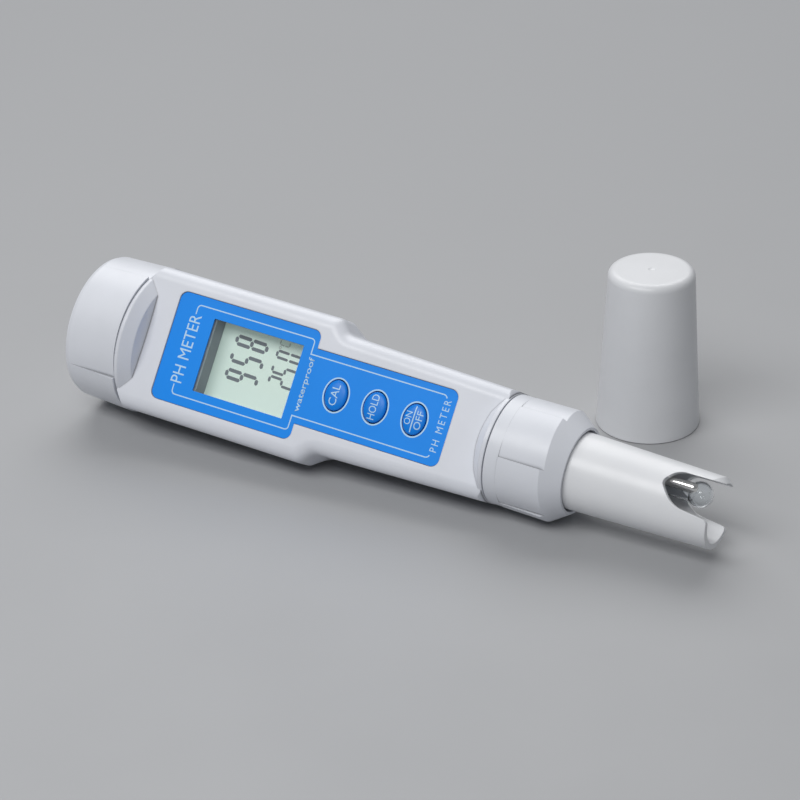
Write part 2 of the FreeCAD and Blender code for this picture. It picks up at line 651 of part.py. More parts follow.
def leads():
    """Battery wires under the board's end, and the wires from the board to the probe socket."""
    battery = [rod("battery_lead_%d" % index, 0.45, 2.8, "holder_end + 0.05", y, -1.6)
               for index, y in enumerate((-3, 3))]
    finish(group("battery_lead_set", battery), "battery_leads", PEN)
    wires = [rod("probe_lead_%d" % index, 0.45, "socket_start - 100.6", 100.6, y, -0.9)
             for index, y in enumerate((-3.6, -1.2, 1.2, 3.6))]
    finish(group("probe_lead_set", wires), "probe_leads", PEN)


# ---- probe end

def probe_socket():
    base = rod("socket_base", "probe_neck_bore - 0.05", 2.5, "socket_start + 0.02")
    spigot = rod("socket_spigot", 6, 2.4, "socket_start + 2.4")
    wells = [rod("socket_well_%d" % index, 0.9, 6, "socket_start + 1", y, z) for index, (y, z)
             in enumerate(spread_points("pin_circle", 4, 45))]
    finish(cut("socket_cut", fuse("socket_raw", base, spigot), *wells), "probe_socket", PEN)


def collar_nut():
    core = turned("nut_core", [
        ("nut_start", 0), ("nut_start", "nut_radius + 0.35"), ("nut_start + 3.4", "nut_radius + 0.3"),
        ("nut_start + 3.4", "nut_radius - 0.5"), ("nut_end - 6", "nut_radius - 0.5"), ("nut_end - 6", 0)])
    ribs = grip("nut_rib", ("nut_radius + 0.2", "nut_radius"), ("nut_rib_low", "nut_rib_rise"),
                "nut_start + 3.4", "nut_end", "nut_rib_turn", 6)
    envelope = turned("nut_envelope", [
        ("nut_start - 1", 0), ("nut_start - 1", 17), ("nut_cone_start - 4", 16.2),
        ("nut_cone_start", "nut_radius"), ("nut_end", "nut_lip_radius"),
        ("nut_end + 1", "nut_lip_radius - 0.68"), ("nut_end + 1", 0)])
    hollow = turned("nut_hollow", [
        ("nut_start - 1", 0), ("nut_start - 1", "nut_bore"), ("nut_step", "nut_bore"),
        ("nut_step", "nut_mouth"), ("nut_end + 1", "nut_mouth"), ("nut_end + 1", 0)])
    outside = common("nut_outside", fuse("nut_raw", core, ribs), envelope)
    finish(cut("nut_cut", outside, hollow), "collar_nut", PEN)


def notch():
    """The opening right through the guard, a rounded V beside the pen's middle line. It leaves a
    narrow prong above it and a broad prong below, and squares off the broad prong's end."""
    shape = slab("notch_shape", [
        ("notch_apex", "notch_across"), ("notch_apex + 4.1", "notch_low + 1.1"), ("guard_tip", "notch_low"),
        ("guard_tip", -15), ("guard_tip + 9", -15), ("guard_tip + 9", "notch_high"),
        ("notch_apex + 2.6", "notch_high - 0.25")], -15, 30)
    apex, tip = number("notch_apex"), number("guard_tip")
    corner = rounded("notch_mouth", shape, "prong_round", lambda edge: is_upright(edge)
                     and abs(middle(edge).x - tip) < 0.1 and middle(edge).y > -10)
    lower = rounded("notch_lower", corner, 7, lambda edge: is_upright(edge)
                    and apex + 3.5 < middle(edge).x < apex + 5)
    upper = rounded("notch_upper", lower, 4, lambda edge: is_upright(edge)
                    and apex + 2 < middle(edge).x < apex + 3)
    return rounded("notch", upper, 1.6, lambda edge: is_upright(edge) and middle(edge).x < apex + 0.1)


def point_cut():
    """What is cut from the narrow prong to shape its end like a fingernail, thinner to the tip."""
    nail = bind(DOC.addObject("Part::Cone", "point_nail"), Radius1="point_wide", Radius2="point_thin",
                Height="point_high - point_low")
    place(nail, "point_at", "point_low", 0, FreeCAD.Rotation(ALONG, -90))
    return cut("point_cut", block("point_stock", "point_at", 20, "point_low + 1", 6, -12, 24), nail)


def guard_tube():
    tube = turned("guard_raw", [
        ("flange_start", "guard_tip_radius - guard_wall"), ("flange_start", "flange_reach"),
        ("flange_end", "flange_reach"), ("flange_end", "guard_root"), ("guard_tip + 1", "guard_tip_radius"),
        ("guard_tip + 1", "guard_tip_radius - guard_wall")])
    slotted = cut("guard_slotted", tube, notch(), point_cut())
    finish(slotted, "guard_tube", PEN)


def glass_electrode(low, spot):
    """A hollow glass bulb on a hollow stem."""
    skins = []
    for name, inset, start in (("glass_out", "0", low), ("glass_in", "glass_wall", "%s - 1" % low)):
        ball = bind(DOC.addObject("Part::Sphere", name + "_ball"), Radius="bulb_radius - %s" % inset)
        place(ball, "bulb_at", *spot)
        stem = rod(name + "_stem", "stem_radius - %s" % inset, "bulb_at - (%s)" % start, start, *spot)
        skins.append(fuse(name, ball, stem))
    finish(cut("glass_cut", *skins), "glass_electrode", PEN)


def electrode():
    """The parts inside the guard: glass electrode, temperature rod and reference junction."""
    low = "electrode_start"
    bulb = ("bulb_across", "bulb_out")
    rod_spot = ("rod_across", "rod_out")
    junction = (-3.9, -1.6)
    glass_electrode(low, bulb)
    finish(rod("silver_bar", 0.4, 32, "%s + 2" % low, *bulb), "silver_wire", PEN)
    nose_at = "rod_tip - rod_radius"
    bar = rod("rod_bar", "rod_radius", "%s - %s" % (nose_at, low), low, *rod_spot)
    nose = place(bind(DOC.addObject("Part::Sphere", "rod_nose"), Radius="rod_radius"), nose_at, *rod_spot)
    bore = rod("rod_bore", "rod_radius - 0.35", "%s - %s + 1" % (nose_at, low), "%s - 1" % low, *rod_spot)
    finish(cut("rod_cut", fuse("rod_out_shape", bar, nose), bore), "temperature_rod", PEN)
    finish(rod("thermistor_bead", 0.7, 3, "%s - 3.1" % nose_at, *rod_spot), "thermistor", PEN)
    finish(rod("junction_bar", 1, 20, "core_end - 19", *junction), "reference_junction", PEN)
    core = rod("core_bar", "guard_tip_radius - guard_wall - 0.05", "core_end - 0.5 - %s" % low, low)
    holes = [rod("core_hole_%d" % index, "%s + 0.03" % radius, 30, "%s - 1" % low, *spot)
             for index, (radius, spot) in enumerate((("stem_radius", bulb), ("rod_radius", rod_spot),
                                                     (1, junction)))]
    finish(cut("core_cut", core, *holes), "electrode_core", PEN)


def electrode_plug():
    plug = turned("plug_raw", [
        ("plug_start", 0), ("plug_start", "plug_radius"), ("plug_start + 2.6", "plug_radius"),
        ("plug_start + 2.6", "plug_radius - 1.4"), ("plug_start + 4.4", "plug_radius - 1.4"),
        ("plug_start + 4.4", "plug_radius"), ("flange_start - 0.2", "plug_radius"),
        ("flange_start - 0.2", 7.3), ("electrode_start - 0.4", 7.3), ("electrode_start - 0.4", 0)])
    finish(plug, "electrode_plug", PEN)
    pins = [rod("plug_pin_%d" % index, 0.5, 3.6, "plug_start - 3.6", y, z) for index, (y, z)
            in enumerate(spread_points("pin_circle", 4, 45))]
    finish(group("plug_pin_set", pins), "plug_pins", PEN)


# ---- protective cap

def protective_cap():
    body = DOC.addObject("PartDesign::Body", "protective_cap_body")
    sketch = body_sketch(body, [
        ("cover_mouth - cover_wall", 0), ("cover_mouth", 0), ("cover_top", "cover_height"),
        (0, "cover_height"), (0, "cover_height - 1.8"), ("cover_top - cover_wall", "cover_height - 1.8")],
        role="XZ_Plane")
    turn = body.newObject("PartDesign::Revolution", "protective_cap_turn")
    turn.Profile = sketch
    turn.ReferenceAxis = (sketch, ["V_Axis"])
    turn.Angle = 360
    DOC.recompute()
    top = number("cover_height")
    edges = ["Edge%d" % index for index, edge in enumerate(turn.Shape.Edges, start=1)
             if abs(middle(edge).z - top) < 0.01 and edge.Length > 20]
    smooth = body.newObject("PartDesign::Fillet", "protective_cap_round")
    smooth.Base = (turn, edges)
    bind(smooth, Radius="cover_edge")
    body.Tip = smooth
    gate = place(bind(DOC.addObject("Part::Sphere", "gate_dimple"), Radius=1.6), 0, 0, "cover_height + 1.3")
    finish(cut("protective_cap_cut", body, gate), "protective_cap", STAND)


def build():
    battery_cap()
    battery_contacts()
    battery_holder()
    housing()
    back_cover()
    cover_gasket()
    seal_ring("battery_seal", "battery_neck_seal", "groove_at + groove_width / 2",
              "neck_radius - 0.82", "seal_section")
    label_overlay()
    display()
    keypad()
    circuit_board()
    leads()
    probe_socket()
    collar_nut()
    guard_tube()
    electrode()
    electrode_plug()
    seal_ring("plug_seal_ring", "plug_seal", 124.5, "plug_radius - 0.58", 0.8)
    protective_cap()


def centre_on_ground():
    """Move everything so that the origin is under the middle of the whole object."""
    whole = FreeCAD.BoundBox()
    for thing in PARTS:
        whole.add(thing.Shape.optimalBoundingBox(True))
    shift = FreeCAD.Placement(V(-whole.Center.x, -whole.Center.y, -whole.ZMin), FreeCAD.Rotation())
    for thing in PARTS:
        thing.Placement = shift.multiply(thing.Placement)
    DOC.recompute()
    return shift


def check():
    for thing in DOC.Objects:
        if "Invalid" in thing.State or "Error" in thing.State:
            raise RuntimeError("%s failed: %s" % (thing.Name, thing.State))
    for thing in PARTS:
        if thing.Shape.isNull() or not thing.Shape.isValid() or not thing.Shape.Solids:
            raise RuntimeError("%s has no valid solid" % thing.Label)


build()
DOC.recompute()
SHIFT = centre_on_ground()
check()
os.makedirs("parts", exist_ok=True)
for part in PARTS:
    part.Shape.exportStep("parts/%s.step" % part.Label)
print("wrote", len(PARTS), "sub-parts")
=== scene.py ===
"""Looks of a pocket pH meter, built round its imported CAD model.

Three sets of axes are used. Row axes are those of the frame. Pen axes have u along the pen from
the closed end of the battery cap to the electrode tip, v across the face and n out of it. Panel
axes are the same for the sloping face, counted from the middle of the label's edge.
"""

import json
import math

import bmesh
import bpy
from mathutils import Matrix, Vector


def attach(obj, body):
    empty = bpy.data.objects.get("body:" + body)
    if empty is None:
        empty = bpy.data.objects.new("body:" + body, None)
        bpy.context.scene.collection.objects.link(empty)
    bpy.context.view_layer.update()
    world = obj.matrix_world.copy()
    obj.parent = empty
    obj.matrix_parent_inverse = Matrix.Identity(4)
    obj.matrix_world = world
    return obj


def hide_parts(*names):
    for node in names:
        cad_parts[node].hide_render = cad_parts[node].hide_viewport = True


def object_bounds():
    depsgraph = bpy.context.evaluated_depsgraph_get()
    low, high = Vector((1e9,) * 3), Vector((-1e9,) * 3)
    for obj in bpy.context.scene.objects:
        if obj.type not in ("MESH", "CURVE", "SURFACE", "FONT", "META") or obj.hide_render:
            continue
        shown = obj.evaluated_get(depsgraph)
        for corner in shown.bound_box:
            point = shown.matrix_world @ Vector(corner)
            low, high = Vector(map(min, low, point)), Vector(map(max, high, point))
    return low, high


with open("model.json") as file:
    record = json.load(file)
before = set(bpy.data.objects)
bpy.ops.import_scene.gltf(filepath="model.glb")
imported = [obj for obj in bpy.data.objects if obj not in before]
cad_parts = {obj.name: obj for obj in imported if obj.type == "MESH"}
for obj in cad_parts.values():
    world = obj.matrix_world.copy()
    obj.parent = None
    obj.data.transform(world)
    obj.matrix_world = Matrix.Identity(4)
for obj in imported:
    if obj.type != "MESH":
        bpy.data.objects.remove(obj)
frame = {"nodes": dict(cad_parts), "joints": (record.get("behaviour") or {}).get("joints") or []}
CAD_BOX = [Vector(corner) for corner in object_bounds()]

MM = 0.001
NODES = frame["nodes"]
JOINTS = {joint["name"]: joint for joint in frame["joints"]}


# ---- axes, all read from the frame

class Axes:
    """An origin and three directions, with lengths in millimetres."""

    def __init__(self, origin, u, v, n):
        self.origin, self.u, self.v, self.n = Vector(origin), u, v, n

    def at(self, u=0.0, v=0.0, n=0.0):
        return self.origin + (self.u * u + self.v * v + self.n * n) * MM

    def matrix(self, u=0.0, v=0.0, n=0.0, across=False):
        """A placement here. With across, its own x runs along v and its y towards the battery cap."""
        right, up = (self.v, -self.u) if across else (self.u, self.v)
        made = Matrix((right, up, self.n)).transposed().to_4x4()
        made.translation = self.at(u, v, n)
        return made

    def span(self, node, axis):
        """The lowest and highest place of a CAD node along one of these axes."""
        way = getattr(self, axis)
        reach = [(vertex.co - self.origin).dot(way) / MM for vertex in NODES[node].data.vertices]
        return min(reach), max(reach)


def pen_axes():
    u = -Vector(JOINTS["battery_cap_turn"]["axis"]).normalized()
    out = -Vector(JOINTS["cal_key_press"]["axis"]).normalized()
    v = out.cross(u).normalized()
    return Axes(JOINTS["battery_cap_turn"]["pos_m"], u, v, u.cross(v))


def panel_axes():
    """Axes in the label's own top surface."""
    n = -Vector(JOINTS["cal_key_press"]["axis"]).normalized()
    u = PEN.v.cross(n).normalized()
    rough = Axes(PEN.origin, u, PEN.v, n)
    label = rough.span("label_overlay", "u")[0]
    top = rough.span("label_overlay", "n")[1]
    return Axes(rough.at(label, 0, top), u, PEN.v, n)


PEN = pen_axes()
PANEL = panel_axes()


# ---- materials

def principled(name, color, roughness, **sockets):
    made = bpy.data.materials.new(name)
    made.use_nodes = True
    made.diffuse_color = (*color, 1)
    shader = made.node_tree.nodes["Principled BSDF"]
    shader.inputs["Base Color"].default_value = (*color, 1)
    shader.inputs["Roughness"].default_value = roughness
    for socket, value in sockets.items():
        shader.inputs[socket.replace("_", " ")].default_value = value
    return made, made.node_tree, shader


def noise(tree, scale, detail=3.0, stretch=(1, 1, 1)):
    """A noise value in object space, per millimetre."""
    place = tree.nodes.new("ShaderNodeTexCoord")
    size = tree.nodes.new("ShaderNodeMapping")
    size.inputs["Scale"].default_value = [scale / MM * part for part in stretch]
    texture = tree.nodes.new("ShaderNodeTexNoise")
    texture.inputs["Scale"].default_value = 1.0
    texture.inputs["Detail"].default_value = detail
    tree.links.new(place.outputs["Object"], size.inputs["Vector"])
    tree.links.new(size.outputs["Vector"], texture.inputs["Vector"])
    return texture.outputs["Fac"]


def spread(tree, value, low, high):
    """Stretch a noise value to run from low to high."""
    node = tree.nodes.new("ShaderNodeMapRange")
    node.inputs["From Min"].default_value = 0.3
    node.inputs["From Max"].default_value = 0.7
    node.inputs["To Min"].default_value = low
    node.inputs["To Max"].default_value = high
    tree.links.new(value, node.inputs["Value"])
    return node.outputs["Result"]


def tint(tree, value, dark, light):
    ramp = tree.nodes.new("ShaderNodeValToRGB")
    ramp.color_ramp.elements[0].position = 0.3
    ramp.color_ramp.elements[0].color = (*dark, 1)
    ramp.color_ramp.elements[1].position = 0.7
    ramp.color_ramp.elements[1].color = (*light, 1)
    tree.links.new(value, ramp.inputs["Fac"])
    return ramp.outputs["Color"]


def bump(tree, shader, value, height_mm, edge_mm=0.0):
    """Fine relief, over edges that are softened by edge_mm."""
    node = tree.nodes.new("ShaderNodeBump")
    node.inputs["Distance"].default_value = height_mm * MM
    tree.links.new(value, node.inputs["Height"])
    if edge_mm:
        soft = tree.nodes.new("ShaderNodeBevel")
        soft.samples = 6
        soft.inputs["Radius"].default_value = edge_mm * MM
        tree.links.new(soft.outputs["Normal"], node.inputs["Normal"])
    tree.links.new(node.outputs["Normal"], shader.inputs["Normal"])


def painted_crevice_shade(tree, color, reach_mm, darkest):
    """Painted shade: darken a colour in a piece's own corners and gaps narrower than reach_mm, where shade
    falls.
    """
    near = tree.nodes.new("ShaderNodeAmbientOcclusion")
    near.samples = 12
    near.only_local = True
    near.inputs["Distance"].default_value = reach_mm * MM
    share = tree.nodes.new("ShaderNodeMapRange")
    share.inputs["From Min"].default_value = 0.45
    share.inputs["From Max"].default_value = 0.95
    share.inputs["To Min"].default_value = darkest
    share.inputs["To Max"].default_value = 1.0
    shade = tree.nodes.new("ShaderNodeVectorMath")
    shade.operation = "SCALE"
    tree.links.new(near.outputs["AO"], share.inputs["Value"])
    tree.links.new(color, shade.inputs[0])
    tree.links.new(share.outputs["Result"], shade.inputs["Scale"])
    return shade.outputs["Vector"]


def plastic(name, color, roughness, grain_mm=0.004, grain=6.0, edge_mm=0.25, mottle=0.02, painted_shade_mm=0.0,
            **sockets):
    """Moulded plastic: faint mottling, uneven gloss and fine grain, with painted shade in its own corners
    and gaps when a reach for it is given.
    """
    made, tree, shader = principled(name, color, roughness, **sockets)
    cloud = noise(tree, 0.08, 4.0)
    low, high = ([part * (1 + side * mottle) for part in color] for side in (-1, 1))
    shade = tint(tree, cloud, low, high)
    # painted shade: the colour darkens in the piece's own corners and gaps
    if painted_shade_mm:
        shade = painted_crevice_shade(tree, shade, painted_shade_mm, darkest=0.35)
    tree.links.new(shade, shader.inputs["Base Color"])
    tree.links.new(spread(tree, noise(tree, 0.35, 3.0), roughness * 0.88, roughness * 1.14),
                   shader.inputs["Roughness"])
    bump(tree, shader, noise(tree, grain, 2.0), grain_mm, edge_mm)
    return made


def metal(name, color, roughness, stretch=(1, 1, 1), grain_mm=0.002):
    made, tree, shader = principled(name, color, roughness, Metallic=1.0)
    lines = noise(tree, 3.0, 4.0, stretch)
    tree.links.new(spread(tree, lines, roughness * 0.7, roughness * 1.4), shader.inputs["Roughness"])
    bump(tree, shader, lines, grain_mm, edge_mm=0.08)
    return made


def clear(name, color, gloss_roughness=0.03):
    """A thin clear pane: light passes straight through, with a faint mirror on top."""
    made = bpy.data.materials.new(name)
    made.use_nodes = True
    tree = made.node_tree
    tree.nodes.remove(tree.nodes["Principled BSDF"])
    through = tree.nodes.new("ShaderNodeBsdfTransparent")
    through.inputs["Color"].default_value = (*color, 1)
    gloss = tree.nodes.new("ShaderNodeBsdfGlossy")
    tree.links.new(spread(tree, noise(tree, 0.5, 3.0), gloss_roughness, gloss_roughness * 2),
                   gloss.inputs["Roughness"])
    edge = tree.nodes.new("ShaderNodeFresnel")
    edge.inputs["IOR"].default_value = 1.45
    mix = tree.nodes.new("ShaderNodeMixShader")
    tree.links.new(edge.outputs["Fac"], mix.inputs[0])
    tree.links.new(through.outputs["BSDF"], mix.inputs[1])
    tree.links.new(gloss.outputs["BSDF"], mix.inputs[2])
    tree.links.new(mix.outputs["Shader"], tree.nodes["Material Output"].inputs["Surface"])
    return made


def blown_glass(name):
    made, tree, shader = principled(name, (0.97, 0.99, 1.0), 0.02, Transmission_Weight=1.0, IOR=1.47)
    bump(tree, shader, noise(tree, 0.25, 2.0), 0.01)
    return made


# the housing and both caps get painted shade in their corners and in the steps of their ribs
WHITE = plastic("white_body", (0.75, 0.77, 0.825), 0.33, edge_mm=0.5, painted_shade_mm=0.6)
CAP_WHITE = plastic("white_cap", (0.75, 0.77, 0.82), 0.36, edge_mm=0.12, painted_shade_mm=1.0)
GUARD_WHITE = plastic("white_guard", (0.80, 0.81, 0.83), 0.32, edge_mm=0.3)
COVER_WHITE = plastic("white_cover", (0.73, 0.74, 0.76), 0.34)
BLUE = plastic("blue_overlay", (0.0, 0.27, 0.92), 0.4, grain_mm=0.002, edge_mm=0.06, Specular_IOR_Level=0.3)
KEY_BLUE = plastic("blue_key", (0.0, 0.22, 0.80), 0.36, grain_mm=0.002, edge_mm=0.0,
                   Specular_IOR_Level=0.35)
PRINT = plastic("pale_print", (0.50, 0.74, 0.95), 0.45, grain_mm=0.001, edge_mm=0.0)
GREY = plastic("grey_holder", (0.34, 0.36, 0.41), 0.5, mottle=0.06)
BLACK = plastic("black_plastic", (0.03, 0.03, 0.033), 0.5, mottle=0.2)
RUBBER = plastic("black_rubber", (0.025, 0.025, 0.028), 0.75, grain_mm=0.01, mottle=0.2)
SWITCH = plastic("switch_black", (0.05, 0.05, 0.055), 0.5, mottle=0.15)
BOARD = plastic("board_green", (0.015, 0.14, 0.06), 0.4, mottle=0.2)
WIRE = plastic("wire_red", (0.4, 0.03, 0.03), 0.5, mottle=0.1)
CERAMIC = plastic("junction_ceramic", (0.7, 0.67, 0.6), 0.8, grain_mm=0.01, mottle=0.08)
CORE = plastic("core_grey", (0.5, 0.51, 0.53), 0.5)
STEEL = metal("screw_steel", (0.55, 0.55, 0.57), 0.3)
CELL_STEEL = metal("cell_steel", (0.66, 0.66, 0.68), 0.22)
ROD_STEEL = metal("rod_steel", (0.90, 0.89, 0.87), 0.22, (0.1, 1, 1), grain_mm=0.0002)
SILVER = metal("silver_wire", (0.75, 0.74, 0.72), 0.25)
BRASS = metal("contact_brass", (0.72, 0.52, 0.2), 0.25)
PANE = clear("window_pane", (0.97, 0.98, 0.975))
GLASS = blown_glass("bulb_glass")

NODE_MATERIALS = {
    "housing": WHITE, "back_cover": WHITE, "battery_cap": CAP_WHITE, "collar_nut": CAP_WHITE,
    "guard_tube": GUARD_WHITE, "protective_cap": COVER_WHITE, "label_overlay": BLUE,
    "display_window": PANE, "display_holder": GREY, "lcd_glass": CORE, "lcd_reflector": SILVER,
    "elastomer_strips": RUBBER, "cal_key": KEY_BLUE, "hold_key": KEY_BLUE, "power_key": KEY_BLUE,
    "cal_switch_plunger": SWITCH, "hold_switch_plunger": SWITCH, "power_switch_plunger": SWITCH,
    "key_switches": SWITCH, "keypad_gasket": RUBBER, "circuit_board": BOARD, "board_components": BLACK,
    "board_screws": STEEL, "cover_screws": STEEL, "battery_leads": WIRE, "probe_leads": WIRE,
    "probe_socket": BLACK, "battery_holder": BLACK, "button_cells": CELL_STEEL,
    "battery_spring": STEEL, "battery_cap_contact": BRASS, "positive_contact": BRASS,
    "negative_contact_ring": BRASS, "back_cover_gasket": RUBBER, "battery_neck_seal": RUBBER,
    "plug_seal": RUBBER, "glass_electrode": GLASS, "silver_wire": SILVER, "temperature_rod": ROD_STEEL,
    "thermistor": BLACK, "reference_junction": CERAMIC, "electrode_core": CORE,
    "electrode_plug": BLACK, "plug_pins": BRASS,
}


def dress_cad():
    for name, node in NODES.items():
        if not node.material_slots:
            node.data.materials.append(NODE_MATERIALS[name])
        for slot in node.material_slots:
            slot.material = NODE_MATERIALS[name]


# ---- mesh building

def add_mesh(name, vertices, faces, material, body, placement=None, smooth=False):
    mesh = bpy.data.meshes.new(name)
    mesh.from_pydata([tuple(vertex) for vertex in vertices], [], faces)
    mesh.materials.append(material)
    if smooth:
        mesh.polygons.foreach_set("use_smooth", [True] * len(mesh.polygons))
    mesh.update()
    made = bpy.data.objects.new(name, mesh)
    bpy.context.scene.collection.objects.link(made)
    if placement:
        made.matrix_world = placement
    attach(made, body)
    return made


def slab_mesh(outline, low, high):
    """Vertices and faces of a flat slab, in metres, from an outline in millimetres."""
    count = len(outline)
    vertices = [(x * MM, y * MM, z * MM) for z in (low, high) for x, y in outline]
    faces = [tuple(reversed(range(count))), tuple(range(count, 2 * count))]
    faces += [(k, (k + 1) % count, count + (k + 1) % count, count + k) for k in range(count)]
    return vertices, faces


def add_slabs(name, outlines, low, high, material, body, placement):
    """Several flat slabs in one piece."""
    vertices, faces = [], []
    for outline in outlines:
        more, sides = slab_mesh(outline, low, high)
        faces += [tuple(index + len(vertices) for index in side) for side in sides]
        vertices += more
    return add_mesh(name, vertices, faces, material, body, placement)


def band(points, width, closed=False):
    """Outlines that cover a line through points with a band of that width."""
    pieces = []
    count = len(points)
    sides = []
    for index, point in enumerate(points):
        before = points[index - 1] if index or closed else point
        after = points[(index + 1) % count] if index < count - 1 or closed else point
        into = Vector((point[0] - before[0], point[1] - before[1]))
        onward = Vector((after[0] - point[0], after[1] - point[1]))
        into = into.normalized() if into.length else onward.normalized()
        onward = onward.normalized() if onward.length else into
        along = (into + onward).normalized()
        reach = width / 2 / max(0.5, along.dot(into))
        side = Vector((-along.y, along.x)) * reach
        spot = Vector(point)
        sides.append((spot - side, spot + side))
    for index in range(count if closed else count - 1):
        (low, high), (low_next, high_next) = sides[index], sides[(index + 1) % count]
        pieces.append([tuple(low), tuple(low_next), tuple(high_next), tuple(high)])
    return pieces


def arc(centre, radius, start, end, steps=6):
    """Points on a part of a circle, angles in degrees."""
    turns = [math.radians(start + (end - start) * step / steps) for step in range(steps + 1)]
    return [(centre[0] + radius * math.cos(turn), centre[1] + radius * math.sin(turn)) for turn in turns]


def ellipse(centre, half_u, half_v, steps=72):
    turns = [2 * math.pi * step / steps for step in range(steps)]
    return [(centre + half_u * math.cos(turn), half_v * math.sin(turn)) for turn in turns]


# ---- lettering and printed lines on the label

# millimetres
PRINT_LIFT, PRINT_THICK = 0.0, 0.025
LINE_WIDTH = 0.3


def add_words(name, text, middle, width, height, body, lift=PRINT_LIFT, weight=0.0, spacing=1.0,
              follow=None):
    """Words that read along v, with their tops towards the battery cap, fitted to a width and height.

    With follow, they lie on a surface whose height it gives, in millimetres, and not in a plane.
    """
    curve = bpy.data.curves.new(name, "FONT")
    curve.body = text
    curve.resolution_u = 3
    curve.offset = weight
    curve.space_character = spacing
    letters = bpy.data.objects.new(name + "_curve", curve)
    bpy.context.scene.collection.objects.link(letters)
    bpy.context.view_layer.update()
    flat = bpy.data.meshes.new_from_object(letters.evaluated_get(bpy.context.evaluated_depsgraph_get()))
    bpy.data.objects.remove(letters)
    xs = [vertex.co.x for vertex in flat.vertices]
    ys = [vertex.co.y for vertex in flat.vertices]
    size_x = width * MM / (max(xs) - min(xs))
    size_y = height * MM / (max(ys) - min(ys))
    shape = bmesh.new()
    shape.from_mesh(flat)
    bpy.data.meshes.remove(flat)
    if follow:
        bmesh.ops.subdivide_edges(shape, edges=shape.edges[:], cuts=1)
    middle_x, middle_y = (max(xs) + min(xs)) / 2, (max(ys) + min(ys)) / 2
    for vertex in shape.verts:
        x, y = (vertex.co.x - middle_x) * size_x, (vertex.co.y - middle_y) * size_y
        rise = follow(x / MM, y / MM) * MM if follow else 0.0
        vertex.co = (x, y, rise)
    raised = bmesh.ops.extrude_face_region(shape, geom=shape.faces[:])
    top = [item for item in raised["geom"] if isinstance(item, bmesh.types.BMVert)]
    bmesh.ops.translate(shape, verts=top, vec=(0, 0, PRINT_THICK * MM))
    bmesh.ops.recalc_face_normals(shape, faces=shape.faces[:])
    mesh = bpy.data.meshes.new(name)
    shape.to_mesh(mesh)
    shape.free()
    mesh.materials.append(PRINT)
    made = bpy.data.objects.new(name, mesh)
    bpy.context.scene.collection.objects.link(made)
    made.matrix_world = PANEL.matrix(middle[0], middle[1], lift, across=True)
    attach(made, body)


LABEL_HALF = PANEL.span("label_overlay", "v")[1]
LABEL_END = PANEL.span("label_overlay", "u")[1]
# where the label steps in, and half its width beyond the step
STEP_AT, NARROW_HALF = 41.0, 9.7
# how far the printed border lies inside the label's edge, on the wide and on the narrow part
FRAME_IN, NARROW_IN = 2.35, 1.75
# where the border starts beside the title, along and across the label
FRAME_START, FRAME_OPEN_HALF = 5.5, 9.2
# how far the border lies inside the label's step and its tip end, and the radii of its three corners
STEP_IN, END_IN = 1.5, 2.7
FRAME_CORNERS = 1.0, 0.9, 1.1


def frame_path(side):
    """One half of the printed border, from the battery end, round the wide part, to the tip end."""
    wide, narrow = LABEL_HALF - FRAME_IN, NARROW_HALF - NARROW_IN
    step, end = STEP_AT - STEP_IN, LABEL_END - END_IN
    first, second, third = FRAME_CORNERS
    points = [(FRAME_START, FRAME_OPEN_HALF)]
    points += arc((FRAME_START + first, wide - first), first, 180, 90)
    points += arc((step - second, wide - second), second, 90, 0)
    points += [(step, narrow)]
    points += arc((end - third, narrow - third), third, 90, 20)
    return [(u, v * side) for u, v in points]


def print_label():
    for side, name in ((1, "far"), (-1, "near")):
        add_slabs("label_line_" + name, band(frame_path(side), LINE_WIDTH), PRINT_LIFT, PRINT_THICK,
                  PRINT, "meter", PANEL.matrix())
    add_words("label_title", "PH METER", (5.75, 0.2), 17.8, 3.2, "meter")
    add_words("label_waterproof", "waterproof", (40.4, 0.2), 14.0, 2.1, "meter", weight=0.015)
    add_words("label_foot", "PH METER", (78.3, 0.35), 13.1, 1.85, "meter", spacing=1.35)


# ---- keys

KEY_NODES = {"cal_key": "cal", "hold_key": "hold", "power_key": "power"}
# millimetres: the flange that holds a key under the label, the dome's rise, the skirt's depth from the
# top, the gap that keeps the words clear of the dome, and the printed ring's distance and width
KEY_FLANGE, CROWN_RISE, SKIRT_DEPTH, WORD_GAP, RING_OUT, RING_WIDTH = 1.0, 0.62, 2.2, 0.005, 0.51, 0.36
# exponents of the dome's profile: how flat its top is, and how round its shoulders
CROWN_FLAT, CROWN_ROUND = 3.6, 0.62
# (word, offset along u, width, height), and a bar where there is no word
KEY_WORDS = {
    "cal_key": [("CAL", -0.2, 5.3, 2.1)],
    "hold_key": [("HOLD", -0.2, 6.3, 2.0)],
    "power_key": [("ON", -1.5, 3.3, 1.75), ("", -0.1, 6.6, 0.3), ("OFF", 1.35, 4.6, 1.75)],
}


def dome(node):
    """Centre along u, half sizes and top of a key's dome, in millimetres along the panel axes."""
    low_u, high_u = PANEL.span(node, "u")
    low_v, high_v = PANEL.span(node, "v")
    top = PANEL.span(node, "n")[1]
    half_u, half_v = ((high - low) / 2 - KEY_FLANGE for low, high in ((low_u, high_u), (low_v, high_v)))
    return (low_u + high_u) / 2, half_u, half_v, top


def crown(reach):
    """Height of the dome at a share of its radius: a soft flat top and round shoulders."""
    return (1 - min(1.0, reach) ** CROWN_FLAT) ** CROWN_ROUND


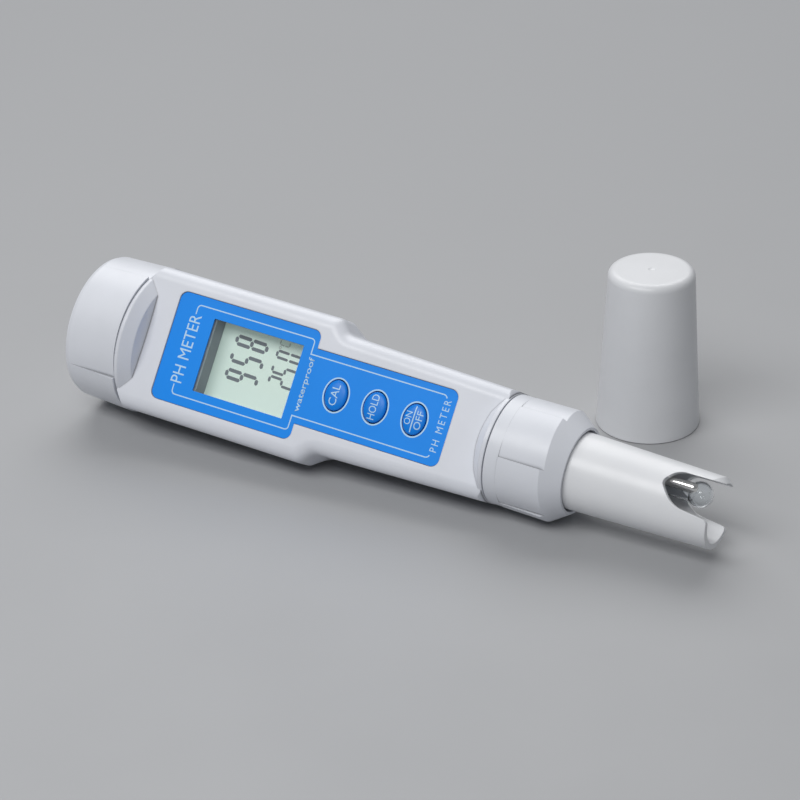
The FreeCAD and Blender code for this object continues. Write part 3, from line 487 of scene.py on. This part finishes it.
def key_shell(node, name):
    """A domed key with a skirt that runs down through the label."""
    centre, half_u, half_v, top = dome(node)
    rings, steps = 26, 96
    vertices = [(centre * MM, 0, top * MM)]
    for ring in range(1, rings + 1):
        reach = ring / rings
        rise = top - CROWN_RISE + CROWN_RISE * crown(reach)
        vertices += [(u * MM, v * MM, rise * MM)
                     for u, v in ellipse(centre, half_u * reach, half_v * reach, steps)]
    vertices += [(u * MM, v * MM, (top - SKIRT_DEPTH) * MM)
                 for u, v in ellipse(centre, half_u, half_v, steps)]
    faces = [(0, 1 + step, 1 + (step + 1) % steps) for step in range(steps)]
    for ring in range(rings):
        base, onward = 1 + ring * steps, 1 + (ring + 1) * steps
        faces += [(base + step, onward + step, onward + (step + 1) % steps, base + (step + 1) % steps)
                  for step in range(steps)]
    faces.append(tuple(1 + rings * steps + step for step in reversed(range(steps))))
    made = add_mesh(name, vertices, faces, KEY_BLUE, node, PANEL.matrix(), smooth=True)
    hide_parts(node)


def key_bar(name, node, width, height, spot, follow):
    """A printed bar that follows the dome, in short lengths."""
    lengths = 24
    vertices, faces = [], []
    for part in range(lengths):
        low, high = (-width / 2 + width * end / lengths for end in (part, part + 1))
        for x, y in ((low, -height / 2), (high, -height / 2), (high, height / 2), (low, height / 2)):
            vertices.append((x * MM, y * MM, (follow(x, y) + PRINT_THICK) * MM))
        faces.append(tuple(range(len(vertices) - 4, len(vertices))))
    add_mesh(name, vertices, faces, PRINT, node, spot)


def key_words(node, name):
    centre, half_u, half_v, top = dome(node)
    for index, (text, offset, width, height) in enumerate(KEY_WORDS[node]):
        def follow(x, y, offset=offset):
            reach = math.hypot((offset - y) / half_u, x / half_v)
            return CROWN_RISE * (crown(reach) - 1)
        if text:
            add_words("%s_word_%d" % (name, index), text, (centre + offset, 0), width, height, node,
                      lift=top + WORD_GAP, follow=follow)
        else:
            spot = PANEL.matrix(centre + offset, 0, top + WORD_GAP, across=True)
            key_bar("%s_bar" % name, node, width, height, spot, follow)


def keys():
    for node, name in KEY_NODES.items():
        key_shell(node, "key_dome_" + name)
        key_words(node, name)
        centre, half_u, half_v, _ = dome(node)
        ring = band(ellipse(centre, half_u + RING_OUT, half_v + RING_OUT), RING_WIDTH, closed=True)
        add_slabs("key_ring_" + name, ring, PRINT_LIFT, PRINT_THICK, PRINT, "meter", PANEL.matrix())


# ---- display

# millimetres along the cell, from its battery end, over which the painted shadow of the holder's wall dies
# out
PAINTED_SHADOW_LENGTH = 26


def lcd_materials():
    """The pale cell with a painted glow and a painted shadow that greys it towards the battery end, and the
    greys of strong and faint segments.
    """
    # the emission is a painted glow that brightens the cell where it lies deep in shade under the window
    made, tree, shader = principled("lcd_face", (0.88, 0.99, 0.93), 0.25, Coat_Weight=0.3,
                                    Emission_Color=(0.72, 0.92, 0.82, 1), Emission_Strength=0.16)
    place = tree.nodes.new("ShaderNodeTexCoord")
    split = tree.nodes.new("ShaderNodeSeparateXYZ")
    shadow_ramp = tree.nodes.new("ShaderNodeMapRange")
    shadow_ramp.inputs["From Min"].default_value = 0.0
    shadow_ramp.inputs["From Max"].default_value = PAINTED_SHADOW_LENGTH * MM
    ramp = tree.nodes.new("ShaderNodeValToRGB")
    # painted shadow: the cell is greyer at its battery end, where the holder's wall casts shade on it
    painted_shadow_stops = ((0.0, (0.66, 0.80, 0.74)), (0.2, (0.85, 0.97, 0.91)), (1.0, (0.88, 0.99, 0.93)))
    ramp.color_ramp.elements.new(0.5)
    for element, (at, color) in zip(ramp.color_ramp.elements, painted_shadow_stops):
        element.position = at
        element.color = (*color, 1)
    tree.links.new(place.outputs["Object"], split.inputs["Vector"])
    tree.links.new(split.outputs["X"], shadow_ramp.inputs["Value"])
    tree.links.new(shadow_ramp.outputs["Result"], ramp.inputs["Fac"])
    tree.links.new(ramp.outputs["Color"], shader.inputs["Base Color"])
    bump(tree, shader, noise(tree, 1.2, 2.0), 0.002)
    dark = plastic("lcd_segment", (0.21, 0.235, 0.27), 0.4, grain_mm=0.001, edge_mm=0.0)
    faint = plastic("lcd_faint_segment", (0.62, 0.70, 0.66), 0.4, grain_mm=0.001, edge_mm=0.0)
    return made, dark, faint


SEGMENTS = {"9": "abcdfg", "5": "acdfg", "8": "abcdefg", "2": "abdeg", "0": "abcdef", "C": "adef"}


def digit(number, left, top, width, height, bold, slant=0.03):
    """Outlines of a seven-segment digit, x to the right and y up: bars with pointed ends."""
    low_x, high_x = left + bold / 2, left + width - bold / 2
    high_y, low_y = top - bold / 2, top - height + bold / 2
    mid_y = (low_y + high_y) / 2
    ends = {
        "a": ((low_x, high_y), (high_x, high_y)), "g": ((low_x, mid_y), (high_x, mid_y)),
        "d": ((low_x, low_y), (high_x, low_y)), "f": ((low_x, mid_y), (low_x, high_y)),
        "b": ((high_x, mid_y), (high_x, high_y)), "e": ((low_x, low_y), (low_x, mid_y)),
        "c": ((high_x, low_y), (high_x, mid_y)),
    }
    shapes = []
    for letter in SEGMENTS[number]:
        near, far = (Vector(end) for end in ends[letter])
        along = (far - near).normalized()
        side = Vector((-along.y, along.x)) * bold / 2
        gap, shoulder = along * bold * 0.2, along * bold * 0.6
        points = [near + gap, near + shoulder - side, far - shoulder - side, far - gap,
                  far - shoulder + side, near + shoulder + side]
        shapes.append([(point.x + (point.y - mid_y) * slant, point.y) for point in points])
    return shapes


# millimetres: where the large reading's top lies on the cell, and the cell face's margin
READING_AT, FACE_MARGIN = 6.55, 0.3
FACE_THICK, READING_TOP = 0.05, 0.09
# digits, the left of each, then their top, width, height and stroke
LARGE = ("958", (-4.15, 0.25, 4.7), 0, 2.9, 9.7, 0.92)
SMALL = ("250", (-2.2, 0.65, 4.5), -12.1, 2.35, 7.8, 0.68)


def reading(digits, lefts, *size):
    shapes = []
    for number, left in zip(digits, lefts):
        shapes += digit(number, left, *size)
    return shapes


def display():
    """The lit face of the cell and its readings, seen through the window."""
    face, dark, faint = lcd_materials()
    low, high = PANEL.span("lcd_glass", "u")
    half = PANEL.span("lcd_glass", "v")[1]
    top = PANEL.span("lcd_glass", "n")[1]
    near, far, edge = FACE_MARGIN, high - low - FACE_MARGIN, half - FACE_MARGIN
    outline = [(near, -edge), (far, -edge), (far, edge), (near, edge)]
    panel = add_slabs("lcd_face", [outline], 0.0, FACE_THICK, face, "meter", PANEL.matrix(low, 0, top))
    # the unit: a C with a small ring before it
    unit = digit("C", 8.0, -12.3, 1.5, 3.0, 0.34)
    unit += band(arc((7.45, -12.75), 0.28, 0, 330, 11), 0.18, closed=True)
    spot = PANEL.matrix(low + READING_AT, 0, top, across=True)
    readings = reading(*LARGE) + reading(*SMALL)
    for name, shapes, material in (("lcd_reading", readings, dark), ("lcd_unit", unit, faint)):
        add_slabs(name, shapes, FACE_THICK, READING_TOP, material, "meter", spot)


# ---- studio

# metres from the pen's closed end, and height above the ground
CAMERA_FROM_END, CAMERA_HEIGHT = (0.379, -0.489), 0.32875
# degrees
CAMERA_TURN, CAMERA_DOWN, CAMERA_ROLL = 30.66, 28.47, -1.28
# millimetres
CAMERA_LENS = 117.8


def camera():
    turn, down, roll = (math.radians(angle) for angle in (CAMERA_TURN, CAMERA_DOWN, CAMERA_ROLL))
    forward = Vector((-math.sin(turn) * math.cos(down), math.cos(turn) * math.cos(down), -math.sin(down)))
    right = Vector((math.cos(turn), math.sin(turn), 0))
    up = right.cross(forward)
    right, up = right * math.cos(roll) + up * math.sin(roll), up * math.cos(roll) - right * math.sin(roll)
    lens = bpy.data.cameras.new("camera")
    lens.lens = CAMERA_LENS
    made = bpy.data.objects.new("camera", lens)
    bpy.context.scene.collection.objects.link(made)
    placement = Matrix((right, up, -forward)).transposed().to_4x4()
    placement.translation = Vector((PEN.origin.x + CAMERA_FROM_END[0], PEN.origin.y + CAMERA_FROM_END[1],
                                    CAMERA_HEIGHT))
    made.matrix_world = placement
    bpy.context.scene.camera = made


def lamp(name, spot, target, size, watts):
    light = bpy.data.lights.new(name, "AREA")
    light.shape = "RECTANGLE"
    light.size, light.size_y = size
    light.energy = watts
    made = bpy.data.objects.new(name, light)
    bpy.context.scene.collection.objects.link(made)
    way = Vector(target) - Vector(spot)
    turn = way.to_track_quat("-Z", "Y").to_matrix().to_4x4()
    made.matrix_world = Matrix.Translation(Vector(spot)) @ turn


# metres
FLOOR_REACH, FLOOR_DROP = 6.0, 0.0002
# where each light stands, its size and its watts
LAMPS = {"far_light": ((-0.30, 0.50, 0.75), (1.0, 0.7), 5.3),
         "near_light": ((-0.05, -0.55, 0.70), (0.8, 0.35), 4.7)}


def studio():
    """A pale floor, a soft sky, one large light above the far side and one above the near side."""
    material, tree, shader = principled("studio_floor", (0.40, 0.405, 0.415), 0.6)
    tree.links.new(spread(tree, noise(tree, 0.02, 3.0), 0.55, 0.65), shader.inputs["Roughness"])
    corners = [(x * FLOOR_REACH, y * FLOOR_REACH, -FLOOR_DROP)
               for x, y in ((-1, -1), (1, -1), (1, 1), (-1, 1))]
    mesh = bpy.data.meshes.new("studio_floor")
    mesh.from_pydata(corners, [], [(0, 1, 2, 3)])
    mesh.materials.append(material)
    floor = bpy.data.objects.new("studio_floor", mesh)
    bpy.context.scene.collection.objects.link(floor)
    world = bpy.data.worlds.new("studio")
    world.use_nodes = True
    sky = world.node_tree.nodes["Background"]
    sky.inputs["Color"].default_value = (0.92, 0.95, 1.0, 1)
    sky.inputs["Strength"].default_value = 0.2
    bpy.context.scene.world = world
    bpy.context.scene.view_settings.view_transform = "Standard"
    middle = (CAD_BOX[0] + CAD_BOX[1]) / 2
    for name, (spot, size, watts) in LAMPS.items():
        lamp(name, spot, middle, size, watts)


dress_cad()
print_label()
keys()
display()
camera()
studio()
